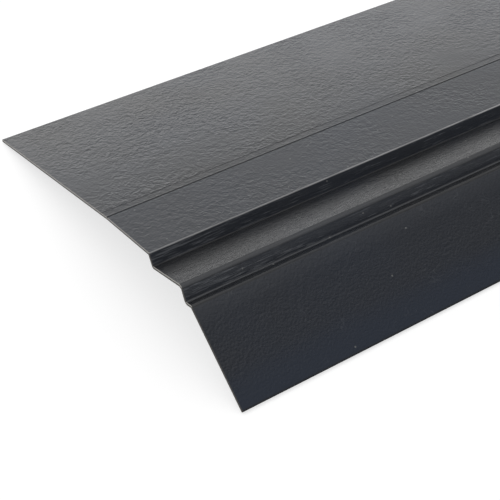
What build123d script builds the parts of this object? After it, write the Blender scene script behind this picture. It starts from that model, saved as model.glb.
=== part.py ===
"""Eaves support tray: one strip of plastic sheet, folded along its length into a stepped drip section.

Frame: +X runs along the tray, +Y points up the roof to the back edge, -Y to the gutter, +Z is up.
The tray stands as it lies on a level floor, on the lower arris of its back edge and of its drip edge.
The origin is at the middle of its footprint, on the floor.
"""

import os
from math import atan2, cos, degrees, radians, sin

from build123d import *

# Driving dimensions, in millimetres
length = 1500.0
thickness = 1.2

# Widths of the flat strips between the folds, from the back edge to the drip edge, on the upper face
flange_back = 106.0  # back edge to the score line
flange_front = 34.0  # score line to the first fold
upper_riser = 5.5  # first step down
shelf = 19.8  # seat over the fascia board
lip = 2.0  # bevel along the shelf's outer edge
lower_riser = 5.6  # second step down
ledge = 3.7  # narrow drip ledge
apron = 42.0  # skirt that hangs into the gutter

# Slope of each strip against the back flange, in degrees, falling towards the gutter
flange_front_fall = 3.7
upper_riser_fall = 75.0
shelf_rise = 3.3
lip_fall = 30.0
lower_riser_fall = 78.0
ledge_rise = 4.5
apron_fall = 51.0

# Radius of the folds on the upper face: crisp round the shelf, softer below its lip and on the ledge
crisp_fold = 0.5
shelf_corner_fold = 0.4
lip_fold = 1.6
ledge_corner_fold = 1.0
ledge_lip_fold = 1.6

# Score line across the back flange: a V cut, and the shallow track that the creasing wheel leaves behind it
score_width = 1.0
score_depth = 0.6
track_width = 4.8
track_depth = 0.05

strips = (
    (flange_back, 0.0),
    (flange_front, -flange_front_fall),
    (upper_riser, -upper_riser_fall),
    (shelf, shelf_rise),
    (lip, -lip_fall),
    (lower_riser, -lower_riser_fall),
    (ledge, ledge_rise),
    (apron, -apron_fall),
)


def toward(slope, distance):
    """Step of that distance along a strip of that slope, in degrees."""
    return Vector(cos(radians(slope)), sin(radians(slope))) * distance


def upper_line(pitch):
    """Corner points of the upper face, from the back edge to the drip edge, with the back flange at that pitch."""
    points = [Vector(0, 0)]
    for width, slope in strips:
        points.append(points[-1] + toward(slope + pitch, width))
    return points


def lower_arrises(pitch):
    """Lower corner of the back edge and of the drip edge, which the tray stands on."""
    points = upper_line(pitch)
    straight_down = pitch - 90
    back = points[0] + toward(straight_down, thickness)
    drip = points[-1] + toward(straight_down - apron_fall, thickness)
    return back, drip


# The pitch that brings both lower arrises down to the floor
level_back, level_drip = lower_arrises(0)
footing = level_drip - level_back
pitch = -degrees(atan2(footing.Y, footing.X))

# The section is drawn on a plane whose x runs from the back edge to the gutter and whose y is up
floor_back = lower_arrises(pitch)[0]
outline = upper_line(pitch)
middle = (outline[0].X + outline[-1].X) / 2
section_plane = Plane(origin=(0, 0, 0), x_dir=(0, -1, 0), z_dir=(-1, 0, 0))
corners = [point - Vector(middle, floor_back.Y) for point in outline]
score_line = corners[1]

fold_radii = (
    0,  # the score line bends sharp
    crisp_fold,
    shelf_corner_fold,
    crisp_fold,
    lip_fold,
    ledge_corner_fold,
    ledge_lip_fold,
)

with BuildPart() as tray:
    with BuildSketch(section_plane) as section:
        with BuildLine():
            FilletPolyline(*corners, radius=fold_radii)
            offset(amount=thickness, side=Side.RIGHT)
        make_face()
        with Locations(Location(score_line, pitch)):
            Rectangle(
                track_width,
                2 * track_depth,
                align=(Align.MAX, Align.CENTER),
                mode=Mode.SUBTRACT,
            )
            Polygon(
                (-score_width, score_depth),
                (0, -score_depth),
                (score_width, score_depth),
                mode=Mode.SUBTRACT,
            )
    extrude(amount=length / 2, both=True)

tray.part.label = "tray"
os.makedirs("parts", exist_ok=True)
export_step(tray.part, "parts/tray.step")
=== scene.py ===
"""Looks of the eaves support tray: a skin of embossed charcoal plastic, swept along the tray's own section.

Lengths are in metres, in the part's frame: +X along the tray, +Y up the roof, -Y to the gutter, +Z up.
The section is read from the frame, so the skin follows the tray wherever its sizes change.
"""

from math import cos, radians, sin

import bmesh
import bpy
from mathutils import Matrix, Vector


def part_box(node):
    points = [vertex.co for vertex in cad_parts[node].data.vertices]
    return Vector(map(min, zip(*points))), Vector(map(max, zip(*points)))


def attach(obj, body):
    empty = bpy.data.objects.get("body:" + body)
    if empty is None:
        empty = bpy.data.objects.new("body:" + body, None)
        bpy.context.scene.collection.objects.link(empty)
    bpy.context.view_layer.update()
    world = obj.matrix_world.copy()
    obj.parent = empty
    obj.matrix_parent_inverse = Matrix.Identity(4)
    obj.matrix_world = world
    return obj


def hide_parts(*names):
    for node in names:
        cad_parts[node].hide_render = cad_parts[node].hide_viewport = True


# Skin of the sheet
station_step = 0.003  # between the sections along the tray
across_step = 0.0022  # between the points across the upper face
fold_support = 0.0003  # from a fold to the points that keep the flat beside it flat, beyond the chamfer
upper_tolerance = 0.00001  # how far the outline may cut inside its folds, above and below
under_tolerance = 0.00004
weld_distance = 1e-6
crease_angle = radians(35)  # a corner that turns further is cut, not folded, and stays sharp
softest_fold = 0.01  # a wider curve isn't a fold

# Cut ends, with a small chamfer where the burr was taken off
cut_chamfer = 0.0002
arris_angle = radians(60)  # a face turned less than this from the tray's length is the chamfer
cut_angle = radians(30)  # and less than this, the cut itself
saw_mark_size = 0.0006
saw_mark_depth = 0.00004

# How far a strip faces up, as the height of a unit vector out of it
level_up = 0.95
near_level_up = 0.85
sloping_up = 0.75
steep_up = 0.55

# How strongly the emboss stands out on each part of the sheet
flange_emboss = 1.0
track_emboss = 0.55
front_emboss = 0.6
shelf_emboss = 0.40
step_emboss = 0.1
apron_emboss = 0.5

# Leathery rise and fall of the emboss that is wide enough to be shape
swell_size = 0.009
swell_depth = 0.00020
swell_seed = 4.0

# Finer grain of the emboss, as bump
grain_size = 0.0022
grain_depth = 0.00057
cluster_size = 0.030
cluster_swing = 3.0  # how much the grain gains in a cluster and loses between two
pore_size = 0.0010
pore_depth = 0.00011
apron_pores = 7.0  # deeper halfway down the apron
rolled_out = 0.7  # share of the pores that the rollers pressed out of the steps
foot_start = 0.6  # how far down the apron its smooth, bluer foot begins
foot_smooth = 0.8  # share of the grain that is gone there

# Lines that the forming rollers drew along the steps, seen as bump and as pale flecks on the steep strips
streak_length = 0.014
streak_width = 0.0007
streak_depth = 0.00018
dash_share = 0.8
scuff_reach = 0.08  # from the cut ends
scuff_share = 0.12
faintest_fleck = 0.06
full_fleck = 0.28

# Score line: painted light that lifts the shade of its walls, the burr behind it, and the groove at the back
# of its track
score_light_width = 0.0008
score_painted_light = 0.25
burr_width = 0.0008
burr_depth = 0.00004
groove_width = 0.0004
groove_depth = 0.00006

# Whitened line over the crisp fold
crest_width = 0.0005
crest_patch = 0.012
patch_start = -0.3  # of the noise that the patches follow
patch_full = 0.1
crest_least = 0.4  # between the patches
crest_fade = 0.40  # from the cut ends, where the fold was whitened less
crest_at_end = 0.30

# Back flange bowed down to the score, apron rolled softly off the ledge, and painted highlights along the
# ledge root and the lip
bow_width = 0.07
bow_depth = 0.0017
roll_width = 0.008
roll_depth = 0.0009
root_highlight_width = 0.0004
root_painted_highlight = 0.5
lip_highlight_width = 0.0012
lip_painted_highlight = 0.25

# Painted shade along the drip edge, faint scuffs on the apron, and dust
drip_painted_width = 0.0012
drip_painted_share = 0.9
hair_size = 0.006
hair_width = 0.02  # of the noise that the scuffs follow
hair_start = 0.05  # of the patches that the scuffs lie in
hair_full = 0.2
hair_pale = 0.3
dust_spacing = 0.014
dust_size = 0.0005
dust_share = 0.30
dust_cover = 0.6

# Colours, as they would be mixed
charcoal = (0.0120, 0.0190, 0.0345)
charcoal_warm = (0.0145, 0.0153, 0.0172)
# colour of the drawn flecks and scuffs, and also of the painted highlights on the score's walls, the ledge
# root and the lip
drawn_and_highlight_grey = (0.090, 0.096, 0.108)
stress_white = (0.68, 0.68, 0.69)
dust_pale = (0.24, 0.24, 0.23)
# painted shade: a near-black line along the drip edge
drip_painted_shade = (0.002, 0.002, 0.002)
raw_plastic = (0.034, 0.031, 0.027)
# painted highlight on the level strips of the cut ends' arrises
arris_painted_highlight = (0.30, 0.29, 0.27)
floor_white = 0.86

# Clouds of the warmer charcoal, which the risers, the front flange and the apron have less of; on the steep
# risers that loss is painted light, standing for the warm light of the bright side that they face away from
cloud_size = 0.09
cloud_swing = 0.15
least_warmth = 0.45
cooler_share = 0.4

# Roughness of the sheet, and what each part of its finish adds
sheet_roughness = 0.31
dull_roughness = 0.16
flange_dullness = 0.5  # on the back flange, against the rest of the sheet
cloud_roughness = 0.04
pore_roughness = 0.1
streak_roughness = 0.5
crest_roughness = 0.2
dust_roughness = 0.3
sawn_roughness = 0.6
arris_roughness = 0.5

# Studio: the light climbs from its least to its most as a direction turns to the bright side
bright_side = Vector((-0.42, 0.82, 0.50)).normalized()
light_least = 0.24
light_most = 1.21
least_facing = -0.85
most_facing = 0.8
light_low = 2.12  # times brighter towards the horizon
low_start = 0.28
low_full = 0.09
light_top = 1.2  # times brighter overhead
top_start = 0.55
top_full = 0.95
floor_reach = 60.0
floor_drop = 0.0002
shadow_share = 0.53  # of the floor's own light that the camera sees, so that the shadow stays pale
floor_glow = 0.665  # lifts the open floor to white

# Camera, found from the tray's long edges and its near end in the photograph
camera_place = Vector((-0.90465, -0.33363, 0.31914))
camera_azimuth = radians(-33.9856)
camera_elevation = radians(40.8152)
camera_lens = 85.446
camera_sensor = 36.0
camera_nearest = 0.01


class Field:
    """One output of a node tree. Arithmetic on it adds Math nodes to that tree."""

    def __init__(self, graph, socket):
        self.graph = graph
        self.socket = socket

    def __add__(self, other):
        return self.graph.math("ADD", self, other)

    def __sub__(self, other):
        return self.graph.math("SUBTRACT", self, other)

    def __rsub__(self, other):
        return self.graph.math("SUBTRACT", other, self)

    def __mul__(self, other):
        return self.graph.math("MULTIPLY", self, other)

    def __truediv__(self, other):
        return self.graph.math("DIVIDE", self, other)

    def __rtruediv__(self, other):
        return self.graph.math("DIVIDE", other, self)

    def __gt__(self, other):
        return self.graph.math("GREATER_THAN", self, other)

    def __lt__(self, other):
        return self.graph.math("LESS_THAN", self, other)

    def __abs__(self):
        return self.graph.math("ABSOLUTE", self)

    __radd__ = __add__
    __rmul__ = __mul__

    def other(self, name):
        """Another output of the same node."""
        return Field(self.graph, self.socket.node.outputs[name])


class Graph:
    """A node tree that is written from here: shaders and geometry alike."""

    def __init__(self, tree):
        self.tree = tree

    def node(self, kind, settings=None, sockets=None, out=0):
        """Add a node with its settings, then its sockets by name or number, and give one of its outputs."""
        made = self.tree.nodes.new(kind)
        for name, value in (settings or {}).items():
            setattr(made, name, value)
        for name, value in (sockets or {}).items():
            if isinstance(value, Field):
                self.tree.links.new(value.socket, made.inputs[name])
            else:
                made.inputs[name].default_value = value
        return Field(self, made.outputs[out]) if made.outputs else None

    def math(self, operation, *operands):
        """A Math node over fields and numbers."""
        return self.node("ShaderNodeMath", {"operation": operation}, dict(enumerate(operands)))

    def part(self, vector, axis):
        """One part of a vector: its X, Y or Z."""
        return self.node("ShaderNodeSeparateXYZ", sockets={"Vector": vector}, out=axis)

    def vector(self, x, y=0.0):
        """A vector from its X and Y."""
        return self.node("ShaderNodeCombineXYZ", sockets={"X": x, "Y": y})

    def attribute(self, name, kind="FLOAT"):
        """A value that the skin carries at its points, for geometry."""
        return self.node("GeometryNodeInputNamedAttribute", {"data_type": kind}, {"Name": name})

    def carried(self, name, out="Fac"):
        """A value that the skin carries at its points, for shaders."""
        return self.node("ShaderNodeAttribute", {"attribute_name": name}, out=out)

    def upward(self):
        """How far the strip that a point lies on faces up, for shaders."""
        return self.part(self.carried("outward", "Vector"), "Z")

    def ramp(self, value, start, end, low=0.0, high=1.0):
        """Smooth climb from low to high as the value goes from start to end."""
        return self.node(
            "ShaderNodeMapRange",
            {"interpolation_type": "SMOOTHSTEP"},
            {"Value": value, "From Min": start, "From Max": end, "To Min": low, "To Max": high},
        )

    def rise(self, value, start, end):
        """Straight climb from 0 to 1 as the value goes from start to end."""
        return self.node("ShaderNodeMapRange", sockets={"Value": value, "From Min": start, "From Max": end})

    def mix(self, share, one, two):
        """Colour that goes from one to two as the share goes from 0 to 1."""
        sockets = {0: share}
        for number, colour in ((6, one), (7, two)):
            sockets[number] = colour if isinstance(colour, Field) else (*colour, 1.0)
        return self.node("ShaderNodeMix", {"data_type": "RGBA"}, sockets, out=2)

    def noise(self, place, size, detail=2.0, distortion=0.0, roughness=0.5, seed=0.0):
        """Noise about zero, with features of that size."""
        sockets = {
            "Vector": place,
            "W": seed,
            "Scale": 1 / size,
            "Detail": detail,
            "Roughness": roughness,
            "Distortion": distortion,
        }
        return self.node("ShaderNodeTexNoise", {"noise_dimensions": "4D"}, sockets) - 0.5


def new_material(name):
    """An empty material, and the graph to write it in."""
    material = bpy.data.materials.new(name)
    material.use_nodes = True
    material.node_tree.nodes.clear()
    return material, Graph(material.node_tree)


class Outline:
    """The tray's section at its near end: points (y, z), over the upper face first and back underneath."""

    def __init__(self, node):
        loop = self.loop_of(node)
        drip = min(range(len(loop)), key=lambda i: loop[i].x)
        upper = split(thin(loop[: drip + 1], upper_tolerance), across_step)
        under = thin(loop[drip + 1 :], under_tolerance)
        self.points = upper + under
        self.drip = len(upper) - 1

        # The track and the score are cut into the upper face, and the rest of its corners are folds
        inner = range(1, self.drip)
        turns = self.turns()
        bends = self.bends(turns)
        cuts = [i for i in inner if abs(turns[i]) > crease_angle]
        folds = [i for i in inner if abs(bends[i]) * softest_fold > 1]
        self.track = cuts[0]
        self.score = max(i for i in cuts if turns[i] < 0)
        self.first_fold, self.last_fold = folds[0], folds[-1]
        self.crest = max(folds, key=bends.__getitem__)
        flats = zip(folds, folds[1:])
        self.shelf = max(flats, key=lambda ends: (self.points[ends[1]] - self.points[ends[0]]).length)
        hollow = [i for i in folds if i > self.shelf[1] and bends[i] < 0]
        self.root = hollow[len(hollow) // 2]

    @staticmethod
    def loop_of(node):
        """Rim of the near end face, from the back edge's upper arris over the upper face and round."""
        shell = bmesh.new()
        shell.from_mesh(node.data)
        bmesh.ops.remove_doubles(shell, verts=shell.verts, dist=weld_distance)
        near = min(vert.co.x for vert in shell.verts)
        cap = {face for face in shell.faces if all(vert.co.x < near + weld_distance for vert in face.verts)}
        rim = [edge for edge in shell.edges if len(cap.intersection(edge.link_faces)) == 1]
        beside = {}
        for edge in rim:
            for vert in edge.verts:
                beside.setdefault(vert, []).append(edge.other_vert(vert))
        start = max(beside, key=lambda vert: vert.co.y)
        walk = [start, max(beside[start], key=lambda vert: vert.co.z)]
        while len(walk) < len(beside):
            walk.append(next(vert for vert in beside[walk[-1]] if vert is not walk[-2]))
        loop = [Vector((vert.co.y, vert.co.z)) for vert in walk]
        shell.free()
        return loop

    def across(self):
        """How far each point lies from the back edge, measured over the sheet. The underside counts on."""
        reach = [0.0]
        for one, two in zip(self.points, self.points[1:]):
            reach.append(reach[-1] + (two - one).length)
        return reach

    def outward(self):
        """Direction out of the sheet at each point, long enough at a corner to keep an even depth."""
        normals = []
        for before, point, after in self.neighbours():
            one, two = square_to(point - before), square_to(after - point)
            normals.append((one + two) / (1 + one.dot(two)))
        return normals

    def turns(self):
        """Signed turn at each point: positive over a fold's crest, negative in its hollow."""
        return [(after - point).angle_signed(point - before) for before, point, after in self.neighbours()]

    def bends(self, turns):
        """How sharply the sheet folds at each point, as one over the radius. Cut corners count as flat."""
        sharpness = []
        for turn, (before, point, after) in zip(turns, self.neighbours()):
            folded = turn if abs(turn) < crease_angle else 0.0
            sharpness.append(2 * folded / ((point - before).length + (after - point).length))
        return sharpness

    def stepped(self):
        """1 from the first fold to the last one, where the rollers worked the sheet, and 0 elsewhere."""
        return [float(self.first_fold <= i <= self.last_fold) for i in range(len(self.points))]

    def emboss(self):
        """How strongly the emboss stands out at each point: not at all on the arrises and the underside."""
        strength = []
        for i in range(len(self.points)):
            if i == 0 or i >= self.drip:
                strength.append(0.0)
            elif i > self.last_fold:
                strength.append(apron_emboss)
            elif self.shelf[0] < i < self.shelf[1]:
                strength.append(shelf_emboss)
            elif i >= self.first_fold:
                strength.append(step_emboss)
            elif i > self.score:
                strength.append(front_emboss)
            elif i >= self.track:
                strength.append(track_emboss)
            else:
                strength.append(flange_emboss)
        return strength

    def neighbours(self):
        """Each point with the one before it and the one after it."""
        points = self.points
        return [(points[i - 1], points[i], points[(i + 1) % len(points)]) for i in range(len(points))]


def square_to(run):
    """Unit vector out of the sheet, square to a run of its outline."""
    return Vector((run.y, -run.x)).normalized()


def thin(points, tolerance):
    """Drop the points that lie on the line between their neighbours."""
    first, last = points[0], points[-1]
    run = (last - first).normalized()
    off = [abs(run.cross(point - first)) for point in points]
    far = max(range(len(points)), key=off.__getitem__)
    if off[far] <= tolerance:
        return [first, last]
    return thin(points[: far + 1], tolerance)[:-1] + thin(points[far:], tolerance)


def split(points, step):
    """Divide the long runs evenly into steps, with a point close to each end of a run."""
    fine = [points[0]]
    for one, two in zip(points, points[1:]):
        length = (two - one).length
        if length > step:
            near = fold_support / length
            count = round(length / step)
            shares = [near, *(i / count for i in range(1, count)), 1 - near]
            fine += [one.lerp(two, share) for share in shares]
        fine.append(two)
    return fine


def section_wire(outline):
    """The section as a closed wire, turned as a swept profile is read, with what the skin carries."""
    points = outline.points
    mesh = bpy.data.meshes.new("section")
    loop = [(i, (i + 1) % len(points)) for i in range(len(points))]
    mesh.from_pydata([(-point.x, -point.y, 0.0) for point in points], loop, [])
    values = {"across": outline.across(), "emboss": outline.emboss(), "stepped": outline.stepped()}
    for name, numbers in values.items():
        mesh.attributes.new(name, "FLOAT", "POINT").data.foreach_set("value", numbers)
    outward = [part for normal in outline.outward() for part in (0.0, normal.x, normal.y)]
    mesh.attributes.new("outward", "FLOAT_VECTOR", "POINT").data.foreach_set("vector", outward)
    wire = bpy.data.objects.new("tray_sheet", mesh)
    bpy.context.scene.collection.objects.link(wire)
    return wire


def sweep_tree(sizes, sheet, cut, arris):
    """Geometry nodes that sweep a wire section into a closed strip: embossed above, chamfered at its ends."""
    tree = bpy.data.node_groups.new("swept_sheet", "GeometryNodeTree")
    tree.is_modifier = True
    tree.interface.new_socket("Section", in_out="INPUT", socket_type="NodeSocketGeometry")
    sockets = {}
    for name in sizes:
        socket = tree.interface.new_socket(name, in_out="INPUT", socket_type="NodeSocketFloat")
        sockets[name] = socket.identifier
    tree.interface.new_socket("Strip", in_out="OUTPUT", socket_type="NodeSocketGeometry")

    graph = Graph(tree)
    section = graph.node("NodeGroupInput", out="Section")
    half = section.other("Length") / 2
    chamfer = section.other("Chamfer")
    step = section.other("Station Step")

    # Stations overshoot the ends by all but a chamfer, and the last ones are drawn back onto the cut
    overshoot = half + step - chamfer
    line = graph.node(
        "GeometryNodeCurvePrimitiveLine",
        sockets={"Start": graph.vector(0 - overshoot), "End": graph.vector(overshoot)},
    )
    count = graph.math("ROUND", overshoot * 2 / step) + 1
    stations = graph.node("GeometryNodeResampleCurve", {"mode": "COUNT"}, {"Curve": line, "Count": count})
    along = graph.part(graph.node("GeometryNodeInputPosition"), "X")
    held = graph.node("ShaderNodeClamp", sockets={"Value": along, "Min": 0 - half, "Max": half})
    path = graph.node(
        "GeometryNodeSetPosition", sockets={"Geometry": stations, "Position": graph.vector(held)}
    )
    profile = graph.node("GeometryNodeMeshToCurve", sockets={"Mesh": section})
    strip = graph.node(
        "GeometryNodeCurveToMesh", sockets={"Curve": path, "Profile Curve": profile, "Fill Caps": True}
    )

    # The upper face swells with the emboss, and the rims of the cut ends draw in by the chamfer
    flat = graph.vector(along, graph.attribute("across"))
    swell = graph.noise(flat, section.other("Swell Size"), detail=1.0, seed=section.other("Swell Seed"))
    swell = swell * section.other("Swell Depth") * graph.attribute("emboss")
    at_cut = abs(along) > half - chamfer / 2
    offset = graph.node(
        "ShaderNodeVectorMath",
        {"operation": "SCALE"},
        {"Vector": graph.attribute("outward", "FLOAT_VECTOR"), "Scale": swell - at_cut * chamfer},
    )
    strip = graph.node("GeometryNodeSetPosition", sockets={"Geometry": strip, "Offset": offset})
    strip = graph.node("GeometryNodeRealizeInstances", sockets={"Geometry": strip})
    strip = graph.node("GeometryNodeSetMaterial", sockets={"Geometry": strip, "Material": sheet})
    endward = abs(graph.part(graph.node("GeometryNodeInputNormal"), "X"))
    for angle, material in ((arris_angle, arris), (cut_angle, cut)):
        strip = graph.node(
            "GeometryNodeSetMaterial",
            sockets={"Geometry": strip, "Selection": endward > cos(angle), "Material": material},
        )
    graph.node("NodeGroupOutput", sockets={"Strip": strip})
    return tree, sockets


def swept_skin(outline, length, *materials):
    """The tray's skin as one plain mesh."""
    sizes = {
        "Length": length,
        "Station Step": station_step,
        "Chamfer": cut_chamfer,
        "Swell Size": swell_size,
        "Swell Depth": swell_depth,
        "Swell Seed": swell_seed,
    }
    skin = section_wire(outline)
    modifier = skin.modifiers.new("sweep", "NODES")
    modifier.node_group, sockets = sweep_tree(sizes, *materials)
    for name, value in sizes.items():
        modifier[sockets[name]] = value
    evaluated = skin.evaluated_get(bpy.context.evaluated_depsgraph_get())
    mesh = bpy.data.meshes.new_from_object(evaluated)
    skin.modifiers.clear()
    skin.data = mesh
    mesh.shade_smooth()
    mesh.set_sharp_from_angle(angle=crease_angle)
    return skin


class CharcoalSheet:
    """Finish of the sheet: leathery grain, drawn lines over the steps, a pale crisp fold and some dust."""

    def __init__(self, outline, length):
        self.material, self.graph = new_material("charcoal_sheet")
        self.outline = outline
        self.reach = outline.across()
        self.find_places(length / 2)
        self.find_marks()
        shader = self.graph.node(
            "ShaderNodeBsdfPrincipled",
            sockets={"Base Color": self.colour(), "Roughness": self.roughness(), "Normal": self.relief()},
        )
        self.graph.node("ShaderNodeOutputMaterial", sockets={"Surface": shader})

    def find_places(self, half):
        """Where a point lies, as if the sheet lay flat, and which of the sheet's parts that is."""
        graph = self.graph
        along = graph.part(graph.node("ShaderNodeTexCoord", out="Object"), "X")
        across = graph.carried("across")
        self.across = across
        self.flat = graph.vector(along, across)
        self.drawn = graph.vector(along * (streak_width / streak_length), across)
        self.scuffed = graph.ramp(abs(along), half - scuff_reach, half)
        self.unfaded = graph.ramp(abs(along), half, half - crest_fade, crest_at_end, 1.0)

        drip = self.reach[self.outline.drip]
        apron_top = self.reach[self.outline.last_fold]
        self.stepped = graph.carried("stepped")
        self.past_score = across > self.reach[self.outline.score]
        self.past_steps = across > apron_top
        self.apron = graph.ramp(across, apron_top, drip)
        self.foot = graph.ramp(self.apron, foot_start, 1.0) * (across < drip + drip_painted_width)
        upward = graph.upward()
        self.steep = graph.ramp(upward, sloping_up, steep_up)
        self.level = graph.ramp(upward, sloping_up, level_up)

    def find_marks(self):
        """Marks that more than one of the colour, the relief and the roughness read."""
        graph = self.graph
        self.emboss = graph.carried("emboss")
        self.clouds = graph.noise(self.flat, cloud_size, detail=3.0, seed=5.0)
        pores = graph.noise(self.flat, pore_size, detail=1.0, seed=2.0) * (1 - self.stepped * rolled_out)
        self.pores = pores * (1 + self.apron * (1 - self.apron) * apron_pores)
        streaks = graph.noise(self.drawn, streak_width, detail=4.0, roughness=0.65, seed=3.0)
        self.streaks = streaks * self.stepped
        self.patches = graph.noise(self.flat, crest_patch, detail=2.0, seed=8.0)
        patchy = graph.ramp(self.patches, patch_start, patch_full, crest_least, 1.0)
        self.whitened = self.line(self.outline.crest, crest_width, core=1 / 3) * patchy * self.unfaded

        cells = graph.node(
            "ShaderNodeTexVoronoi",
            {"voronoi_dimensions": "2D"},
            {"Vector": self.flat, "Scale": 1 / dust_spacing},
        )
        chance = graph.node("ShaderNodeSeparateColor", sockets={"Color": cells.other("Color")}, out="Red")
        size = dust_size / dust_spacing
        self.speck = graph.ramp(cells, size, size / 3) * (chance < dust_share)

    def line(self, point, width, core=0.0, shift=0.0):
        """Line along the tray, over a point of the outline. Its core is the share of its width that is 1."""
        beside = abs(self.across - (self.reach[point] + shift))
        return self.graph.ramp(beside, width, width * core)

    def relief(self):
        """Fine grain, the rollers' lines, the marks beside the score, and the bow and roll of the flats."""
        graph, outline = self.graph, self.outline
        clusters = graph.noise(self.flat, cluster_size, detail=1.0, seed=7.0)
        grain = graph.noise(self.flat, grain_size, detail=2.0, distortion=0.6, seed=1.0)
        grain = grain * self.emboss * (1 + clusters * cluster_swing) * (1 - self.foot * foot_smooth)
        height = grain * grain_depth + self.pores * pore_depth + self.streaks * streak_depth
        burr = self.line(outline.score, burr_width, shift=-burr_width)
        groove = self.line(outline.track, groove_width)
        height = height + burr * burr_depth - groove * groove_depth
        score, apron_top = self.reach[outline.score], self.reach[outline.last_fold]
        on_bow = graph.rise(self.across, score - bow_width, score)
        on_roll = graph.rise(self.across, apron_top + roll_width, apron_top)
        height = height - on_bow * on_bow * bow_depth - on_roll * on_roll * roll_depth
        return graph.node("ShaderNodeBump", sockets={"Strength": 1.0, "Distance": 1.0, "Height": height})

    def colour(self):
        """Charcoal in two shades, with flecks, scuffs and dust, painted highlights on the score's walls, the
        ledge root and the lip, and painted shade along the drip edge.
        """
        graph, outline = self.graph, self.outline
        warmth = graph.ramp(self.clouds, -cloud_swing, cloud_swing, least_warmth, 1.0) * (1 - self.foot)
        # painted light tint: steep riser strips, which face away from the warm bright side, lose part of the
        # warmer charcoal
        warmth = warmth * (1 - self.stepped * self.steep * cooler_share)
        warmth = warmth * (1 - self.past_score * (1 - self.stepped) * cooler_share)
        dashes = graph.noise(self.drawn, streak_width / 2, detail=2.0, seed=9.0) * self.stepped
        broken = self.streaks + dashes * dash_share + self.scuffed * scuff_share
        flecks = graph.ramp(broken, faintest_fleck, full_fleck) * self.steep
        hairs = abs(graph.noise(self.flat, hair_size, detail=1.0, distortion=1.0, seed=10.0))
        in_patch = graph.ramp(self.patches, hair_start, hair_full) * self.past_steps
        hairs = graph.ramp(hairs, hair_width, 0.0) * in_patch

        layers = (
            (flecks, drawn_and_highlight_grey),
            # painted light on the score's shaded walls
            (self.line(outline.score, score_light_width, core=1 / 2) * score_painted_light, drawn_and_highlight_grey),
            # painted highlight along the ledge's hollow root
            (self.line(outline.root, root_highlight_width, core=1 / 3) * root_painted_highlight, drawn_and_highlight_grey),
            # painted highlight on the shelf's rounded lip
            (self.line(outline.shelf[1], lip_highlight_width, core=1 / 2, shift=lip_highlight_width) * lip_painted_highlight, drawn_and_highlight_grey),
            (hairs * hair_pale, drawn_and_highlight_grey),
            (self.whitened, stress_white),
            # painted shade along the drip edge
            (self.line(outline.drip, drip_painted_width) * drip_painted_share, drip_painted_shade),
            (self.speck * dust_cover, dust_pale),
        )
        colour = graph.mix(warmth, charcoal, charcoal_warm)
        for share, over in layers:
            colour = graph.mix(share, colour, over)
        return colour

    def roughness(self):
        """Satin, and duller where the emboss is weak, past the score, and on the whitened fold and dust."""
        dullness = flange_dullness + self.past_score * (1 - flange_dullness)
        dullness = dullness * (1 - self.emboss) * (1 - self.stepped * self.level)
        return (
            sheet_roughness
            + dullness * dull_roughness
            + self.clouds * cloud_roughness
            + self.pores * pore_roughness
            + self.streaks * streak_roughness
            + self.whitened * crest_roughness
            + self.speck * dust_roughness
        )


def sawn_plastic():
    """Cut end of the sheet, duller and browner than its faces, with fine marks of the saw."""
    material, graph = new_material("sawn_plastic")
    place = graph.node("ShaderNodeTexCoord", out="Object")
    marks = graph.noise(place, saw_mark_size, detail=2.0, seed=6.0)
    normal = graph.node(
        "ShaderNodeBump", sockets={"Strength": 1.0, "Distance": saw_mark_depth, "Height": marks}
    )
    shader = graph.node(
        "ShaderNodeBsdfPrincipled",
        sockets={"Base Color": (*raw_plastic, 1.0), "Roughness": sawn_roughness, "Normal": normal},
    )
    graph.node("ShaderNodeOutputMaterial", sockets={"Surface": shader})
    return material


def highlighted_arris():
    """Arris of a cut end: a painted highlight on the level strips, where the arris catches the light from
    above, and plain on the steep ones.
    """
    material, graph = new_material("highlighted_arris")
    arris_highlight_share = graph.ramp(graph.upward(), near_level_up, level_up)
    colour = graph.mix(arris_highlight_share, raw_plastic, arris_painted_highlight)
    shader = graph.node(
        "ShaderNodeBsdfPrincipled", sockets={"Base Color": colour, "Roughness": arris_roughness}
    )
    graph.node("ShaderNodeOutputMaterial", sockets={"Surface": shader})
    return material


def studio_floor():
    """Wide white floor that is seen white, and still takes part of the tray's shadow."""
    material, graph = new_material("studio_floor")
    rays = graph.node("ShaderNodeLightPath", out="Is Camera Ray")
    seen = graph.math("MAXIMUM", rays, rays.other("Is Glossy Ray"))
    seen = graph.math("MAXIMUM", seen, rays.other("Is Transmission Ray"))
    white = (floor_white,) * 3
    shade = (floor_white * shadow_share,) * 3
    lit = graph.node("ShaderNodeBsdfDiffuse", sockets={"Color": (*white, 1.0)})
    shaded = graph.node("ShaderNodeBsdfDiffuse", sockets={"Color": (*shade, 1.0)})
    glow = graph.node("ShaderNodeEmission", sockets={"Strength": floor_glow})
    lifted = graph.node("ShaderNodeAddShader", sockets={0: shaded, 1: glow})
    shader = graph.node("ShaderNodeMixShader", sockets={0: seen, 1: lit, 2: lifted})
    graph.node("ShaderNodeOutputMaterial", sockets={"Surface": shader})

    mesh = bpy.data.meshes.new("floor")
    sides = ((-1, -1), (1, -1), (1, 1), (-1, 1))
    corners = [(x * floor_reach, y * floor_reach, -floor_drop) for x, y in sides]
    mesh.from_pydata(corners, [], [(0, 1, 2, 3)])
    mesh.materials.append(material)
    floor = bpy.data.objects.new("floor", mesh)
    bpy.context.scene.collection.objects.link(floor)
    return floor


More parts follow.
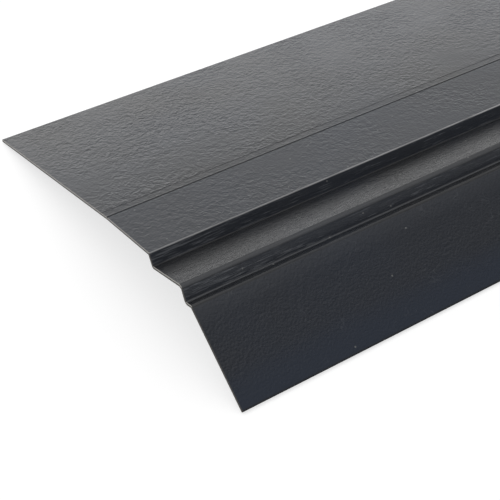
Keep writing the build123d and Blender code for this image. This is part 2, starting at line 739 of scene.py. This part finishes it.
def studio_light():
    """Soft light from all round, brightest behind and above the tray and dim in front."""
    world = bpy.data.worlds.new("studio")
    bpy.context.scene.world = world
    world.use_nodes = True
    world.node_tree.nodes.clear()
    graph = Graph(world.node_tree)
    direction = graph.node("ShaderNodeTexCoord", out="Generated")
    facing = graph.node(
        "ShaderNodeVectorMath", {"operation": "DOT_PRODUCT"}, {0: direction, 1: bright_side}, out="Value"
    )
    height = graph.part(direction, "Z")
    strength = graph.ramp(facing, least_facing, most_facing, light_least, light_most)
    strength = strength * graph.ramp(height, low_start, low_full, 1.0, light_low)
    strength = strength * graph.ramp(height, top_start, top_full, 1.0, light_top)
    background = graph.node("ShaderNodeBackground", sockets={"Strength": strength})
    graph.node("ShaderNodeOutputWorld", sockets={"Surface": background})


def studio_camera():
    """Camera at the photograph's place and angle."""
    data = bpy.data.cameras.new("camera")
    data.sensor_width = camera_sensor
    data.lens = camera_lens
    data.clip_start = camera_nearest
    camera = bpy.data.objects.new("camera", data)
    flat = cos(camera_elevation)
    back = Vector((sin(camera_azimuth) * flat, -cos(camera_azimuth) * flat, sin(camera_elevation)))
    camera.location = camera_place
    camera.rotation_mode = "QUATERNION"
    camera.rotation_quaternion = (-back).to_track_quat("-Z", "Y")
    bpy.context.scene.collection.objects.link(camera)
    bpy.context.scene.camera = camera


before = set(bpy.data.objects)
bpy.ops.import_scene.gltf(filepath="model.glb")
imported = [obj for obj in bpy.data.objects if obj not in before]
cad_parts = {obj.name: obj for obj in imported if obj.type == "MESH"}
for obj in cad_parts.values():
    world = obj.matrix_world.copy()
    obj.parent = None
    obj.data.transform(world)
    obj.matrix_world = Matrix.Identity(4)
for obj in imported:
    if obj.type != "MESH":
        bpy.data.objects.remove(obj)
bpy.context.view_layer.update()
near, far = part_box("tray")
length = far.x - near.x

outline = Outline(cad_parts["tray"])
sheet = CharcoalSheet(outline, length).material
skin = swept_skin(outline, length, sheet, sawn_plastic(), highlighted_arris())
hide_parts("tray")
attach(skin, "root")

studio_floor()
studio_light()
studio_camera()
bpy.context.scene.view_settings.view_transform = "Standard"
